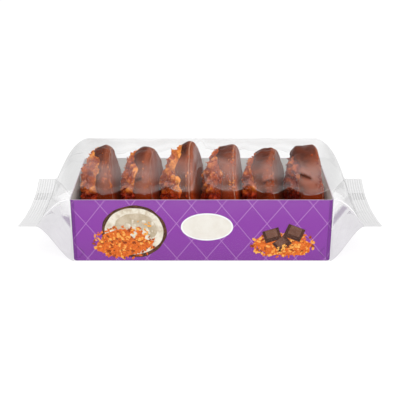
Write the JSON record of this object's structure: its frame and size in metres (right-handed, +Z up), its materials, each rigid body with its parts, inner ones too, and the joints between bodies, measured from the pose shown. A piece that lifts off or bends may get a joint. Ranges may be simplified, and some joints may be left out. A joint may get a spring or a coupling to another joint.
{
  "type": "coconut macaroon pack",
  "caption": "Sealed clear film pack with crimped ends round an open printed card tray of coconut macaroons half coated in milk chocolate.",
  "frame": {"origin": "middle of the tray's underside", "axes": "+X along the pack towards the macaroons' chocolate bases, -Y towards the tray's long front, +Z up"},
  "size_m": [0.279, 0.092, 0.0835],
  "materials": {
    "printed_card": "purple satin print outside, bare grey-white board inside",
    "clear_film": "clear glossy film, slightly hazy",
    "toasted_coconut": "rough toasted shreds of coconut",
    "milk_chocolate": "satin milk chocolate"
  },
  "bodies": {
    "root": {"card_tray": "printed_card", "film_wrap": "clear_film", "macaroon_1": "toasted_coconut", "macaroon_2": "toasted_coconut", "macaroon_3": "toasted_coconut", "macaroon_4": "toasted_coconut", "macaroon_5": "toasted_coconut", "macaroon_6": "toasted_coconut", "chocolate_1": "milk_chocolate", "chocolate_2": "milk_chocolate", "chocolate_3": "milk_chocolate", "chocolate_4": "milk_chocolate", "chocolate_5": "milk_chocolate", "chocolate_6": "milk_chocolate"}
  },
  "joints": []
}
